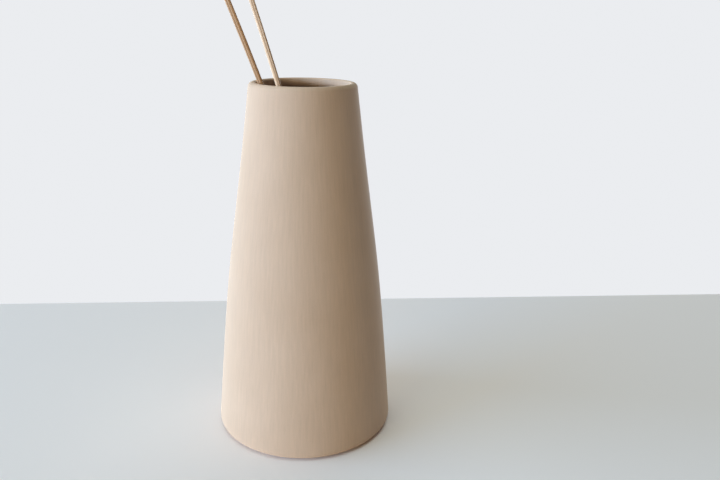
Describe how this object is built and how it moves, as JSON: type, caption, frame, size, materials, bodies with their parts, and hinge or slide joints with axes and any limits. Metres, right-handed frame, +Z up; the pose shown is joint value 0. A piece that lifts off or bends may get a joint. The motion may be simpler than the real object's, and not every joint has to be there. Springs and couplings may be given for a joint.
{
  "type": "tapered vase with dried stems",
  "caption": "Tall tapered ceramic vase with a rounded lip and an open mouth, holding thin dried plant stems that lean on the lip and lift out.",
  "frame": {"origin": "centre of the vase's flat base, on the surface that it stands on", "axes": "+Z up along the vase's axis, -Y towards the front, and -X the way both stems lean"},
  "size_m": [0.1468, 0.128, 0.3948],
  "materials": {
    "ceramic": "matte, chalky beige, unglazed look",
    "golden_straw": "dry, fibrous, golden brown plant stem",
    "pale_straw": "dry, fibrous, pale straw plant stem"
  },
  "bodies": {
    "vase": {"vase_body": "ceramic"},
    "left_stem_body": {"left_stem": "golden_straw"},
    "right_stem_body": {"right_stem": "pale_straw"}
  },
  "joints": [
    {"name": "left_stem_lift", "type": "slide", "parent": "vase", "child": "left_stem_body", "axis": [-0.3002, -0.0438, 0.9529], "range_m": [0, 0.265]},
    {"name": "right_stem_lift", "type": "slide", "parent": "vase", "child": "right_stem_body", "axis": [-0.2377, -0.0217, 0.9711], "range_m": [0, 0.262]}
  ]
}
